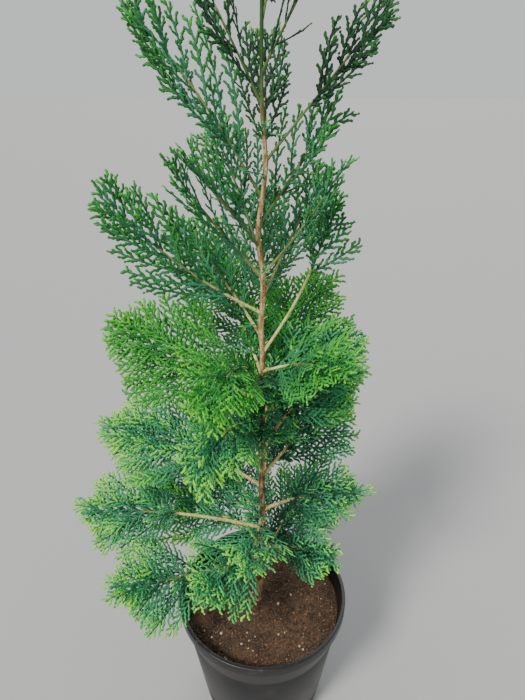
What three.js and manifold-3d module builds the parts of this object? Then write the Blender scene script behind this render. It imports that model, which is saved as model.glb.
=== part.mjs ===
// A young thuja in a round nursery pot: one slender trunk, upswept boughs, and on each a flat fan of scaly
// sprays. Millimetres, +Z up. The origin is the middle of the pot's flat underside. +X is to the right of
// somebody who looks along +Y at the plant's front.

import * as THREE from "three";
import { mergeVertices } from "three/addons/utils/BufferGeometryUtils.js";
import Module from "manifold-3d";

const wasm = await Module();
wasm.setup();

const GAP = 0.3; // left between pieces that touch

// Pot and soil
const POT_HEIGHT = 185;
const POT_FOOT_RADIUS = 82;
const POT_MOUTH_RADIUS = 107;
const POT_WALL = 1.8;
const POT_ROUNDING = 2; // edge of the foot and inner edge of the mouth
const RIM_BAND = 13; // height of the band round the mouth
const RIM_PROUD = 3.2; // how far the band stands out of the wall
const RIM_ROUNDING = 1.2;
const ROUND_SIDES = 32;
const DRAIN_HOLES = 6;
const DRAIN_RADIUS = 6;
const DRAIN_RING = 0.68; // radius of the ring of holes, as a share of the foot's
const DRAIN_SIDES = 8;
const SOIL_LEVEL = 168; // underside to the soil at the trunk's foot
const SOIL_PATCH = 26; // radius of the level patch there
const SOIL_SHOULDER = 0.7; // where the soil starts to fall away, as a share of its radius
const SOIL_SHOULDER_FALL = 2;
const SOIL_FALL = 5; // how much lower the soil lies at the wall

// Trunk
const PLANT_HEIGHT = 850; // soil to the tip of the leader
const TRUNK_RADIUS = 4.65; // just above the root flare
const TIP_RADIUS = 0.7;
const FLARE = 3.4; // added to the radius at the soil
const FLARE_HEIGHT = 13; // height in which the flare falls to a third
const LEAN = 7; // how far to the left the trunk leaves the soil
const LEAN_HEIGHT = 38; // height in which the lean falls to a third
const WEAVE_X = { sway: 0.8, wave: 62, start: 0.6 };
const WEAVE_Y = { sway: 2.6, wave: 88, start: 2 };
const KNEES = [
  // where the trunk bends aside: height above the soil, how far to the right, and over what height
  { at: 404, aside: -2.2, spread: 20 },
  { at: 497, aside: -4.8, spread: 27 },
  { at: 562, aside: 3, spread: 26 },
];
const TRUNK_SIDES = 7;
const TRUNK_RINGS = 42;
const RING_CROWDING = 1.35; // over 1, the rings lie closer in the flare

// The boughs from the soil up: height of the fork above the soil, direction in degrees from +X towards +Y,
// climb in degrees at the fork and at the tip, length from the trunk to the tip of the fan, and how much of
// that is a bare limb. They stand as the front view shows them, and the sides that it hides are filled alike.
const BOUGHS = [
  [74, 58, 18, 0, 160, 22],
  [82, 206, 4, 24, 195, 78],
  [96, 338, 24, -8, 98, 22],
  [104, 230, 14, -18, 122, 22],
  [110, 156, 18, -6, 180, 30],
  [130, 184, 20, -4, 222, 104],
  [136, 122, 24, 4, 172, 22],
  [150, 262, 24, -24, 100, 22],
  [160, 6, 24, -20, 126, 30],
  [186, 84, 32, 8, 160, 24],
  [198, 172, 34, -6, 205, 50],
  [212, 34, 40, 12, 150, 22],
  [228, 116, 38, 16, 160, 22],
  [246, 352, 70, 16, 160, 56],
  [262, 240, 66, -70, 165, 32],
  [272, 78, 34, 16, 182, 24],
  [292, 24, 44, 20, 150, 24],
  [310, 176, 38, 14, 188, 46],
  [318, 56, 46, 28, 170, 22],
  [332, 246, 62, -60, 160, 40],
  [346, 114, 38, 22, 190, 20],
  [352, 312, 34, 2, 132, 22],
  [374, 8, 56, 84, 175, 94],
  [392, 142, 48, 28, 160, 24],
  [408, 88, 40, 28, 182, 24],
  [418, 186, 30, 58, 198, 34],
  [436, 50, 50, 40, 155, 20],
  [454, 202, 50, 56, 150, 28],
  [458, 340, 50, 64, 132, 56],
  [478, 114, 44, 36, 174, 18],
  [486, 232, 46, 38, 136, 22],
  [505, 26, 50, 60, 140, 24],
  [530, 178, 60, 44, 200, 34],
  [556, 90, 48, 42, 160, 20],
  [562, 4, 50, 50, 158, 52],
  [606, 202, 62, 58, 138, 16],
  [630, 318, 54, 50, 132, 14],
  [664, 74, 54, 50, 130, 12],
  [700, 172, 66, 60, 106, 10],
  [736, 342, 68, 62, 88, 9],
  [772, 110, 70, 66, 66, 8],
  [806, 250, 72, 70, 46, 6],
];
const LATE_BEND = 1.4; // over 1, a bough changes its climb more towards the tip
const SHORTEST_LIMB = 26; // a fan with less bare wood than this sits on the trunk with no limb of its own
const LIMB_SIDES = 5;
const LIMB_RING = 16; // from one ring of a limb to the next
const LIMB_SHARE = 0.5; // radius at the fork, as a share of the trunk's there
const LIMB_EXTRA = 0.25;
const LIMB_TAPER = 0.62; // share of the radius that is lost on the way to the tip
const THINNEST_LIMB = 0.8;

// Fans
const ON_EDGE = 62; // degrees that a fan at the side is rolled from lying flat
const FLATTER = 40; // taken off that for a fan that points straight to the front or the back
const ROLL_SPREAD = 24;
const FAN_HALF_WIDTH = 24; // at the widest place, for a fan of no length
const FAN_WIDENING = 0.4; // added for each mm of the fan's length
const FAN_NARROWING = 0.36; // share of the width that is lost up to the top of the crown
const FAN_SHOULDER = 0.8; // under 1, the widest place is nearer to the root
const FAN_FULLNESS = 0.85; // under 1, both ends are blunter
const STEM_SIDES = 3;
const STEM_RINGS = 5;
const STEM_SWELL = 1.5; // what a three-sided stem's radius needs to look as thick as the limb
const STEM_SHARE = 0.72; // share of the fan's length that its stem runs, up to the spray at the tip

// Sprays
const SPRAY_THICKNESS = 1.2;
const SPRAY_SPACING = 26.6; // along the stem, from one side's spray to the next on the other side
const FIRST_SPRAY = 0.2; // share of the spacing from the stem's foot to the first spray
const SPRAY_ROOT = 0.8; // how far a spray's root is sunk in
const SPRAY_SHARES = [1, 0.82, 0.66, 0.5, 0.36]; // of the length up to the fan's outline, tried in turn
const SHORTEST_SPRAY = 18;
const OPEN = 50; // degrees between the stem and a spray at the foot of a low fan
const CLOSING = 12; // taken off that on the way to the fan's tip
const OPEN_SPREAD = 8;
const LIFT_SPREAD = 32; // degrees out of the fan's plane
const DENSE_BELOW = 330; // forks up to here bear dense fans
const AIRY_ABOVE = 460; // and from here up they bear airy ones, with steeper sprays
const AIRY_CLOSING = 12; // degrees that an airy fan's sprays are steeper
const UPWARD = 0.3; // how strongly an airy fan's sprays turn upwards
const RIB = 1; // half the width of a spray's rib
const THREE_TEETH = 46; // a longer spray has three teeth a side, a shorter one two
const TIP_PITCHES = 0.9; // length of the bare tip, in teeth
const TOOTH_DEPTH = 0.32; // of the first tooth, as a share of the spray's length
const TOOTH_LOSS = 0.78; // share of the depth that the last tooth lacks
const TOOTH_CURVE = 1.2;
const TOOTH_LEAN = 1.45; // how far a tooth leans forward, in teeth
const TOOTH_STAGGER = 0.2; // how much later one side's teeth come than the other's
const SPRAY_BEND = 0.1;

// A fan's own space
const SAMPLE = 5; // from one place on a bough's middle line to the next
const FAN_MARGIN = 1.5; // how much nearer to its own fan than to any other
const LIMB_MARGIN = 1.3; // clear of the trunk and the limbs
const POT_CLEAR_BESIDE = 8;
const POT_CLEAR_ABOVE = 3;
const LOWEST = 90; // no spray hangs lower than this beside the pot
const FREE = 6; // the space is only tested further than this from a spray's root

// Colours
const bark = new THREE.MeshStandardMaterial({ color: 0x6b4630, roughness: 0.9, metalness: 0 });
const limbBark = new THREE.MeshStandardMaterial({ color: 0xa9905c, roughness: 0.85, metalness: 0 });
const plastic = new THREE.MeshStandardMaterial({ color: 0x16181b, roughness: 0.5, metalness: 0 });
const compost = new THREE.MeshStandardMaterial({ color: 0x2b2019, roughness: 1, metalness: 0 });
const lowGreen = new THREE.MeshStandardMaterial({ color: 0x3c7a55, roughness: 0.6, metalness: 0 });
const highGreen = new THREE.MeshStandardMaterial({ color: 0x3a7030, roughness: 0.6, metalness: 0 });
const HIGH = 400; // fans from here up have the high green

const { abs, cos, sin, min, max, exp, hypot, floor, round, PI } = Math;
const radians = (degrees) => (degrees * PI) / 180;

// A number from 0 to 1 that is always the same for the same two counts
function chance(a, b) {
  const x = sin(a * 12.9898 + b * 78.233) * 43758.5453;
  return x - floor(x);
}

// The same from -0.5 to 0.5
const either = (a, b) => chance(a, b) - 0.5;

// Solids
function solidOf(geometry) {
  const bare = geometry.index ? geometry.toNonIndexed() : geometry.clone();
  bare.deleteAttribute("normal");
  bare.deleteAttribute("uv");
  const merged = mergeVertices(bare, 1e-4);
  return new wasm.Manifold(
    new wasm.Mesh({
      numProp: 3,
      vertProperties: merged.attributes.position.array,
      triVerts: new Uint32Array(merged.index.array),
    }),
  );
}

function geometryOf(solid) {
  const mesh = solid.getMesh();
  const geometry = new THREE.BufferGeometry();
  geometry.setAttribute("position", new THREE.BufferAttribute(mesh.vertProperties, mesh.numProp));
  geometry.setIndex(new THREE.BufferAttribute(mesh.triVerts, 1));
  return geometry;
}

// A cylinder whose rings are moved on to a curve: place(u) gives the middle and the two cross directions at
// the share u of its length, and radius(u) its radius there.
function limbGeometry(sides, rings, place, radius) {
  const geometry = new THREE.CylinderGeometry(1, 1, 1, sides, rings);
  const position = geometry.attributes.position;
  const point = new THREE.Vector3();
  for (let i = 0; i < position.count; i++) {
    point.fromBufferAttribute(position, i);
    const u = point.y + 0.5;
    const { middle, across, over } = place(u);
    const r = radius(u);
    const moved = middle
      .clone()
      .addScaledVector(across, point.x * r)
      .addScaledVector(over, -point.z * r);
    position.setXYZ(i, moved.x, moved.y, moved.z);
  }
  return geometry;
}

// The trunk's middle at a height above the soil. It leaves the soil a little to the left, weaves as it
// rises and has a few knees.
function trunkMiddle(height) {
  const weave = ({ sway, wave, start }) => sway * sin(height / wave + start);
  const knee = ({ at, aside, spread }) => aside * exp(-(((height - at) / spread) ** 2));
  const x = KNEES.reduce((sum, each) => sum + knee(each), weave(WEAVE_X)) - LEAN * exp(-height / LEAN_HEIGHT);
  return new THREE.Vector3(x, weave(WEAVE_Y), SOIL_LEVEL + height);
}

function trunkRadius(height) {
  const left = max(0, 1 - height / PLANT_HEIGHT);
  return TIP_RADIUS + (TRUNK_RADIUS - TIP_RADIUS) * left + FLARE * exp(-height / FLARE_HEIGHT);
}

function trunkGeometry(spare) {
  const across = new THREE.Vector3(1, 0, 0);
  const over = new THREE.Vector3(0, 1, 0);
  const heightAt = (u) => GAP + (PLANT_HEIGHT - GAP) * u ** RING_CROWDING;
  return limbGeometry(
    TRUNK_SIDES,
    TRUNK_RINGS,
    (u) => ({ middle: trunkMiddle(heightAt(u)), across, over }),
    (u) => trunkRadius(heightAt(u)) + spare,
  );
}

// A bough's middle line, as points one SAMPLE apart, with its climb changing from the fork's to the tip's
function boughLine({ height, direction, climb, tipClimb, reach }) {
  const azimuth = radians(direction);
  const points = [trunkMiddle(height)];
  const steps = round(reach / SAMPLE);
  const step = reach / steps;
  for (let i = 0; i < steps; i++) {
    const rise = radians(climb + (tipClimb - climb) * ((i + 0.5) / steps) ** LATE_BEND);
    const next = points[i].clone();
    next.x += step * cos(rise) * cos(azimuth);
    next.y += step * cos(rise) * sin(azimuth);
    next.z += step * sin(rise);
    points.push(next);
  }
  return points;
}

// Fans at the sides stand on edge, and they lie flatter the more they point to the front or the back.
function rollOf({ index, direction }) {
  return radians(ON_EDGE - FLATTER * abs(sin(radians(direction))) + ROLL_SPREAD * either(index, 7));
}

// The place, the direction and the fan's own two directions at a distance along a bough. The fan's face
// looks up, rolled towards the viewer's side.
function along({ line, reach, roll }, distance) {
  const at = min(max(distance / reach, 0), 1) * (line.length - 1);
  const i = min(floor(at), line.length - 2);
  const middle = line[i].clone().lerp(line[i + 1], at - i);
  const before = line[max(i - 1, 0)];
  const after = line[min(i + 2, line.length - 1)];
  const forward = after.clone().sub(before).normalize();
  const level = new THREE.Vector3(forward.y, -forward.x, 0).normalize();
  if (level.y > 0) level.negate();
  const upper = new THREE.Vector3(0, 0, 1).addScaledVector(forward, -forward.z).normalize();
  const over = upper.multiplyScalar(cos(roll)).addScaledVector(level, sin(roll));
  const across = over.clone().cross(forward);
  return { middle, forward, across, over };
}

const hasLimb = (bough) => bough.bare >= SHORTEST_LIMB;

// The limb's radius at a distance along a bough
function limbRadius({ height, reach }, distance) {
  const root = LIMB_EXTRA + LIMB_SHARE * trunkRadius(height);
  return max(THINNEST_LIMB, root * (1 - LIMB_TAPER * min(1, distance / reach)));
}

// Half the width of a fan at a distance along its bough
function fanHalfWidth({ reach, bare, height }, distance) {
  const share = min(1, max(0, (distance - bare) / (reach - bare)));
  const widest = FAN_HALF_WIDTH + FAN_WIDENING * (reach - bare);
  const narrowing = 1 - (FAN_NARROWING * height) / PLANT_HEIGHT;
  return widest * narrowing * max(0, sin(PI * share ** FAN_SHOULDER)) ** FAN_FULLNESS;
}

// Every bough with its line, the middle points of its limb, and the places and widths of its fan
const crown = BOUGHS.map(([height, direction, climb, tipClimb, reach, bare], index) => {
  const bough = { index, height, direction, climb, tipClimb, reach, bare, limbPoints: [], fanPlaces: [] };
  bough.line = boughLine(bough);
  bough.roll = rollOf(bough);
  const limbEnd = hasLimb(bough) ? bare - SAMPLE : 0;
  for (let distance = 0; distance <= reach; distance += SAMPLE) {
    const place = along(bough, distance);
    if (distance <= limbEnd) bough.limbPoints.push(place.middle);
    if (distance > bare) bough.fanPlaces.push({ ...place, halfWidth: fanHalfWidth(bough, distance) });
  }
  return bough;
});

// How far a point is from the flat outline of a bough's fan
function fanDistance(point, bough) {
  let least = Infinity;
  for (const { middle, forward, across, over, halfWidth } of bough.fanPlaces) {
    const x = point.x - middle.x;
    const y = point.y - middle.y;
    const z = point.z - middle.z;
    const part = (way) => x * way.x + y * way.y + z * way.z;
    const beyond = max(0, abs(part(forward)) - SAMPLE / 2);
    const beside = max(0, abs(part(across)) - halfWidth);
    least = min(least, hypot(beyond, beside, part(over)));
  }
  return least;
}

// Whether a point lies in a bough's own space: clear of the trunk, the limbs, the pot and the soil, and
// nearer to its own fan than to any other
function inOwnSpace(point, bough) {
  if (point.z < LOWEST) return false;
  const overPot = hypot(point.x, point.y) < POT_MOUTH_RADIUS + POT_CLEAR_BESIDE;
  if (overPot && point.z < POT_HEIGHT + POT_CLEAR_ABOVE) return false;
  const height = min(max(point.z - SOIL_LEVEL, 0), PLANT_HEIGHT);
  const trunk = trunkMiddle(height);
  if (hypot(point.x - trunk.x, point.y - trunk.y) < trunkRadius(height) + LIMB_MARGIN) return false;
  const own = fanDistance(point, bough) + FAN_MARGIN;
  return crown.every(
    (other) =>
      (other === bough || fanDistance(point, other) > own) &&
      other.limbPoints.every((limb) => limb.distanceTo(point) > limbRadius(other, 0) + LIMB_MARGIN),
  );
}

// A spray's flat outline: a rib with teeth on both sides that lean forward, bent a little towards the
// inner side, which lies next to the stem and has one tooth fewer, so that it stays clear of the stem.
// The spray at a fan's tip has no inner side.
function sprayOutline(length, inner) {
  const teeth = length > THREE_TEETH ? 3 : 2;
  const pitch = length / (teeth + TIP_PITCHES);
  const side = (sign) => {
    const points = [[0, sign * RIB]];
    for (let i = sign === inner ? 1 : 0; i < teeth; i++) {
      const notch = (i + (sign > 0 ? TOOTH_STAGGER : 0)) * pitch;
      const depth = TOOTH_DEPTH * length * (1 - TOOTH_LOSS * (i / (teeth - 1)) ** TOOTH_CURVE);
      if (i) points.push([notch, sign * RIB]);
      points.push([notch + TOOTH_LEAN * pitch, sign * (RIB + depth)]);
    }
    return points;
  };
  const outline = [...side(-1), [length, 0], ...side(1).reverse()];
  return outline.map(([x, y]) => new THREE.Vector2(x, y + (inner * SPRAY_BEND * x * x) / length));
}

// One spray as a thin toothed blade that starts inside its stem, or null where no length of it fits its space
function sprayBlade(bough, { root, way, face, length, inner }) {
  const across = face.clone().cross(way).normalize();
  const place = new THREE.Matrix4()
    .makeBasis(way, across, face)
    .setPosition(root.clone().addScaledVector(way, -SPRAY_ROOT));
  const fits = (point) => {
    if (point.x <= FREE) return true;
    return inOwnSpace(new THREE.Vector3(point.x, point.y, 0).applyMatrix4(place), bough);
  };
  for (const share of SPRAY_SHARES) {
    const outline = sprayOutline(length * share, inner);
    const next = (i) => outline[(i + 1) % outline.length];
    const between = outline.map((point, i) => point.clone().lerp(next(i), 0.5));
    if (![...outline, ...between].every(fits)) continue;
    const shape = new THREE.Shape(outline);
    const geometry = new THREE.ExtrudeGeometry(shape, { depth: SPRAY_THICKNESS, bevelEnabled: false });
    return geometry.translate(0, 0, -SPRAY_THICKNESS / 2).applyMatrix4(place);
  }
  return null;
}

// The fan with one more blade, where there is one and it holds to the fan
function joined(fan, blade) {
  if (!blade) return fan;
  const both = fan.add(solidOf(blade));
  return both.decompose().length === 1 ? both : fan;
}

// The largest body of a cut solid: a scrap on the far side of the trunk is dropped
function largest(solid) {
  return solid.decompose().reduce((kept, body) => (body.volume() > kept.volume() ? body : kept));
}

// The length of a spray that leaves the stem at a distance along the bough, out to the fan's outline
function sprayLength(bough, distance, open) {
  let length = bough.reach - bough.bare;
  const room = () => fanHalfWidth(bough, distance + length * cos(open));
  while (length > SHORTEST_SPRAY && length * sin(open) > room()) length -= 2;
  return length;
}

// 0 for a dense low fan, 1 for an airy high one
const airiness = ({ height }) => min(1, max(0, (height - DENSE_BELOW) / (AIRY_ABOVE - DENSE_BELOW)));

// One of the side sprays, which alternate from side to side along the stem
function sideSpray(bough, i, u, distance) {
  const { middle, forward, across, over } = along(bough, distance);
  const side = (i + bough.index) % 2 ? 1 : -1;
  const steepness = CLOSING * u + AIRY_CLOSING * airiness(bough);
  const open = radians(OPEN - steepness + OPEN_SPREAD * either(bough.index, i));
  const lift = radians(LIFT_SPREAD * either(i, bough.index + 40));
  const way = forward
    .clone()
    .multiplyScalar(cos(open))
    .addScaledVector(across, side * sin(open) * cos(lift))
    .addScaledVector(over, sin(open) * sin(lift))
    .addScaledVector(new THREE.Vector3(0, 0, 1), UPWARD * airiness(bough))
    .normalize();
  const face = over.clone().addScaledVector(way, -over.dot(way)).normalize();
  return { root: middle, way, face, length: sprayLength(bough, distance, open), inner: -side };
}

// A fan: a three-sided stem that goes on from the limb, side sprays along it, and one more at its tip
function fanSolid(bough) {
  const { reach, bare } = bough;
  const start = hasLimb(bough) ? bare + GAP : 0;
  const end = bare + STEM_SHARE * (reach - bare);
  const distanceAt = (u) => start + (end - start) * u;
  const stem = limbGeometry(
    STEM_SIDES,
    STEM_RINGS,
    (u) => along(bough, distanceAt(u)),
    (u) => STEM_SWELL * limbRadius(bough, distanceAt(u)),
  );
  let fan = solidOf(stem);
  const sprays = round((end - bare) / SPRAY_SPACING);
  for (let i = 0; i < sprays; i++) {
    const u = (i + FIRST_SPRAY) / sprays;
    fan = joined(fan, sprayBlade(bough, sideSpray(bough, i, u, bare + (end - bare) * u)));
  }
  const { middle, forward, over } = along(bough, end - 2);
  const tip = { root: middle, way: forward, face: over, length: reach - end + 2, inner: 0 };
  fan = joined(fan, sprayBlade(bough, tip));
  return hasLimb(bough) ? fan : largest(fan.subtract(solidOf(trunkGeometry(GAP))));
}

// A limb runs from the trunk, which is cut out of it with a gap, to the root of its fan.
function limbSolid(bough) {
  const limb = limbGeometry(
    LIMB_SIDES,
    max(2, round(bough.bare / LIMB_RING)),
    (u) => along(bough, bough.bare * u),
    (u) => limbRadius(bough, bough.bare * u),
  );
  return solidOf(limb).subtract(solidOf(trunkGeometry(GAP)));
}

function turned(profile) {
  const points = profile.map(([radius, height]) => new THREE.Vector2(radius, height));
  return new THREE.LatheGeometry(points, ROUND_SIDES).rotateX(PI / 2);
}

// The pot's outer radius at a height, without the band
function wallRadius(height) {
  return POT_FOOT_RADIUS + ((POT_MOUTH_RADIUS - POT_FOOT_RADIUS) * height) / POT_HEIGHT;
}

// The pot: a tapered wall with a band round its mouth, a flat base and a ring of drain holes
function potSolid() {
  const bandFoot = POT_HEIGHT - RIM_BAND;
  const band = wallRadius(POT_HEIGHT) + RIM_PROUD;
  let pot = solidOf(
    turned([
      [0, 0],
      [POT_FOOT_RADIUS - POT_ROUNDING, 0],
      [wallRadius(POT_ROUNDING), POT_ROUNDING],
      [wallRadius(bandFoot), bandFoot],
      [band - RIM_ROUNDING, bandFoot + RIM_ROUNDING],
      [band, POT_HEIGHT - RIM_ROUNDING],
      [band - RIM_ROUNDING, POT_HEIGHT],
      [wallRadius(POT_HEIGHT) - POT_WALL / 2, POT_HEIGHT],
      [wallRadius(POT_HEIGHT - POT_ROUNDING) - POT_WALL, POT_HEIGHT - POT_ROUNDING],
      [wallRadius(POT_WALL) - POT_WALL, POT_WALL],
      [0, POT_WALL],
    ]),
  );
  for (let i = 0; i < DRAIN_HOLES; i++) {
    const turn = (2 * PI * i) / DRAIN_HOLES;
    const out = DRAIN_RING * POT_FOOT_RADIUS;
    const hole = new THREE.CylinderGeometry(DRAIN_RADIUS, DRAIN_RADIUS, 4 * POT_WALL, DRAIN_SIDES);
    hole.rotateX(PI / 2).translate(out * cos(turn), out * sin(turn), 0);
    pot = pot.subtract(solidOf(hole));
  }
  return pot;
}

// The soil fills the pot to a level patch under the trunk and falls a little towards the wall.
function soilSolid() {
  const inner = (height) => wallRadius(height) - POT_WALL - GAP;
  const foot = POT_WALL + GAP;
  return solidOf(
    turned([
      [0, foot],
      [inner(foot), foot],
      [inner(SOIL_LEVEL - SOIL_FALL), SOIL_LEVEL - SOIL_FALL],
      [SOIL_SHOULDER * inner(SOIL_LEVEL), SOIL_LEVEL - SOIL_SHOULDER_FALL],
      [SOIL_PATCH, SOIL_LEVEL],
      [0, SOIL_LEVEL],
    ]),
  );
}

const thuja = new THREE.Group();
function addPiece(name, geometry, material) {
  const mesh = new THREE.Mesh(geometry, material);
  mesh.name = name;
  thuja.add(mesh);
}

addPiece("pot", geometryOf(potSolid()), plastic);
addPiece("soil", geometryOf(soilSolid()), compost);
addPiece("trunk", trunkGeometry(0), bark);
for (const bough of crown) {
  const number = String(bough.index + 1).padStart(2, "0");
  if (hasLimb(bough)) addPiece(`bough_${number}`, geometryOf(limbSolid(bough)), limbBark);
  addPiece(`fan_${number}`, geometryOf(fanSolid(bough)), bough.height < HIGH ? lowGreen : highGreen);
}

export default thuja;
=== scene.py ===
import math

import bmesh
import bpy
import numpy as np
from mathutils import Matrix, Vector, noise


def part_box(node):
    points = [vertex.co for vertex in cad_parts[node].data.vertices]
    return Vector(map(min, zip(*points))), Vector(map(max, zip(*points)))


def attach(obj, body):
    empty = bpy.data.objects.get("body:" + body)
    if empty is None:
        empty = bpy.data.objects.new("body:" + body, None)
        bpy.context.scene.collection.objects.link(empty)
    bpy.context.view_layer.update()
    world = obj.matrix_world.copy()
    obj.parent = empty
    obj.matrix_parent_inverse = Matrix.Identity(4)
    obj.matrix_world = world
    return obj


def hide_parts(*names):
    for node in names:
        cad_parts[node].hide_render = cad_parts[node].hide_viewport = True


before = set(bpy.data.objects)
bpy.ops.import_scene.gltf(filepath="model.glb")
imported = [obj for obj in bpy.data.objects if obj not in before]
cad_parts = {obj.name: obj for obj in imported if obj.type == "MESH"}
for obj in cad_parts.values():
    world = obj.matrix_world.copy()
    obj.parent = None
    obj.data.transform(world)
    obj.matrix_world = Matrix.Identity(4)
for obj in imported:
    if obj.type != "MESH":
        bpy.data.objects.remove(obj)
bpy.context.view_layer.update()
MM = 0.001


# POT
# A thin-walled nursery pot, moulded in black polypropylene. It tapers so that pots stack, a band stiffens its
# mouth, two shallow ledges stiffen its wall, and water leaves by six holes in the flat base.
def box_mm(node):
    low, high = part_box(node)
    return Vector(low) / MM, Vector(high) / MM


POT_HEIGHT = box_mm("pot")[1].z
BAND_RADIUS = box_mm("pot")[1].x
BAND_PROUD = 3.2
BAND_HEIGHT = 13
STEP_BELOW_BAND = 0.6
STEP_OUT_TO_BAND = 0.5
LIP = 1.2
POT_MOUTH = BAND_RADIUS - BAND_PROUD
POT_FOOT = 0.7664 * POT_MOUTH
POT_WALL = 1.8
FOOT_CORNER = 2
INSIDE_CORNER = 4
INSIDE_HEIGHTS = (POT_HEIGHT - 30, 8)
# A groove round the underside, as distances in from the foot's edge and heights
FOOT_GROOVE = ((14, 0), (12, 0.4), (9, 0.4), (7, 0))
# Where the ledges start, and the corners of one, as heights from its start and depths
LEDGES = (28, 140)
LEDGE_CORNERS = ((-1, 0), (0, 0.5), (5, 0.5), (6, 0))
DRAIN_HOLES = 6
DRAIN_RADIUS = 6
DRAIN_RING = 0.68 * POT_FOOT
POT_STEPS = 128


def wall_radius(height):
    return POT_FOOT + (POT_MOUTH - POT_FOOT) * height / POT_HEIGHT


def rounded(centre, radius, start, end, steps=5):
    """Points of a rounded corner of a profile, as (radius, height) pairs."""
    turns = [math.radians(start + (end - start) * i / steps) for i in range(steps + 1)]
    return [(centre[0] + radius * math.cos(a), centre[1] + radius * math.sin(a)) for a in turns]


def pot_profile():
    """From the middle of the underside out, up the wall, over the lip and back down the inside."""
    points = [(0, 0)] + [(POT_FOOT - inset, height) for inset, height in FOOT_GROOVE]
    points += rounded((POT_FOOT - FOOT_CORNER, FOOT_CORNER), FOOT_CORNER, -90, -8)
    for ledge in LEDGES:
        points += [(wall_radius(ledge + rise) - depth, ledge + rise) for rise, depth in LEDGE_CORNERS]
    band_foot = POT_HEIGHT - BAND_HEIGHT
    wall_top = band_foot - STEP_BELOW_BAND
    points += [(wall_radius(wall_top), wall_top), (wall_radius(band_foot) + STEP_OUT_TO_BAND, band_foot)]
    points += rounded((BAND_RADIUS - LIP, band_foot + LIP), LIP, -80, 0)
    points += rounded((BAND_RADIUS - LIP, POT_HEIGHT - LIP), LIP, 0, 90)
    points += rounded((POT_MOUTH - POT_WALL + LIP, POT_HEIGHT - LIP), LIP, 90, 180)
    points += [(wall_radius(height) - POT_WALL, height) for height in INSIDE_HEIGHTS]
    return points + [(wall_radius(FOOT_CORNER) - POT_WALL - INSIDE_CORNER, POT_WALL), (0, POT_WALL)]


def finished(name, bm):
    """The shape as an object with smooth faces and its place in its mesh alone."""
    mesh = bpy.data.meshes.new(name)
    bm.to_mesh(mesh)
    bm.free()
    mesh.polygons.foreach_set("use_smooth", [True] * len(mesh.polygons))
    piece = bpy.data.objects.new(name, mesh)
    bpy.context.scene.collection.objects.link(piece)
    return piece


def spun(profile, steps):
    """A profile of (radius, height) pairs turned round the pot's axis."""
    bm = bmesh.new()
    points = [bm.verts.new((radius * MM, 0, height * MM)) for radius, height in profile]
    edges = [bm.edges.new(pair) for pair in zip(points, points[1:])]
    turn = {"cent": (0, 0, 0), "axis": (0, 0, 1), "angle": math.tau, "steps": steps, "use_merge": True}
    bmesh.ops.spin(bm, geom=points + edges, **turn)
    bmesh.ops.remove_doubles(bm, verts=bm.verts, dist=1e-6)
    bmesh.ops.recalc_face_normals(bm, faces=bm.faces)
    return bm


class Value:
    """A shader value. Arithmetic on it adds Math nodes to its finish."""

    def __init__(self, finish, socket):
        self.finish = finish
        self.socket = socket

    def maths(self, operation, first, second):
        return self.finish.node("ShaderNodeMath", {"operation": operation}, {0: first, 1: second})

    def __add__(self, other):
        return self.maths("ADD", self, other)

    def __sub__(self, other):
        return self.maths("SUBTRACT", self, other)

    def __rsub__(self, other):
        return self.maths("SUBTRACT", other, self)

    def __mul__(self, other):
        return self.maths("MULTIPLY", self, other)

    __radd__ = __add__


class Finish:
    """A material with one Principled shader, whose sockets are set by their names."""

    def __init__(self, name, sockets):
        self.material = bpy.data.materials.new(name)
        self.material.use_nodes = True
        self.tree = self.material.node_tree
        self.set(sockets)

    def set(self, sockets):
        for name, value in sockets.items():
            self.put(self.tree.nodes["Principled BSDF"].inputs[name], value)

    def put(self, socket, value):
        if isinstance(value, Value):
            self.tree.links.new(value.socket, socket)
        elif isinstance(value, tuple) and socket.type == "RGBA":
            socket.default_value = (*value, 1)
        else:
            socket.default_value = value

    def node(self, kind, settings, sockets, output=0):
        """A node of any kind. Its settings come first, then its sockets, by place or by name."""
        node = self.tree.nodes.new(kind)
        for name, value in settings.items():
            setattr(node, name, value)
        for name, value in sockets.items():
            self.put(node.inputs[name], value)
        return Value(self, node.outputs[output])

    def noise(self, size, detail, stretch=1):
        """Noise from 0 to 1 with features of about a size in millimetres, drawn out along the trunk."""
        where = self.node("ShaderNodeTexCoord", {}, {}, output=3)
        spread = (1 / (size * MM), 1 / (size * MM), 1 / (size * stretch * MM))
        scaled = self.node("ShaderNodeVectorMath", {"operation": "MULTIPLY"}, {0: where, 1: spread})
        return self.node("ShaderNodeTexNoise", {}, {"Vector": scaled, "Scale": 1.0, "Detail": detail})

    def height(self):
        """Height above the ground in millimetres"""
        where = self.node("ShaderNodeTexCoord", {}, {}, output=3)
        return self.node("ShaderNodeSeparateXYZ", {}, {0: where}, output=2) * (1 / MM)

    def ramp(self, value, low, high):
        """0 at low, 1 at high, and smooth between. Low may be the larger of the two."""
        settings = {"interpolation_type": "SMOOTHSTEP"}
        return self.node("ShaderNodeMapRange", settings, {0: value, 1: low, 2: high})

    def mix(self, share, first, second):
        """One colour turning into another as the share goes from 0 to 1"""
        return self.node("ShaderNodeMix", {"data_type": "RGBA"}, {0: share, 6: first, 7: second}, output=2)

    def bump(self, height, depth):
        """A normal from a height of 0 to 1 that stands for a depth in millimetres"""
        return self.node("ShaderNodeBump", {}, {"Height": height, "Distance": depth * MM, "Strength": 1.0})


def srgb(red, green, blue):
    """A colour as it looks on a screen, 0 to 255, as the shader's own numbers"""
    return tuple((part / 255) ** 2.2 for part in (red, green, blue))


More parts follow.
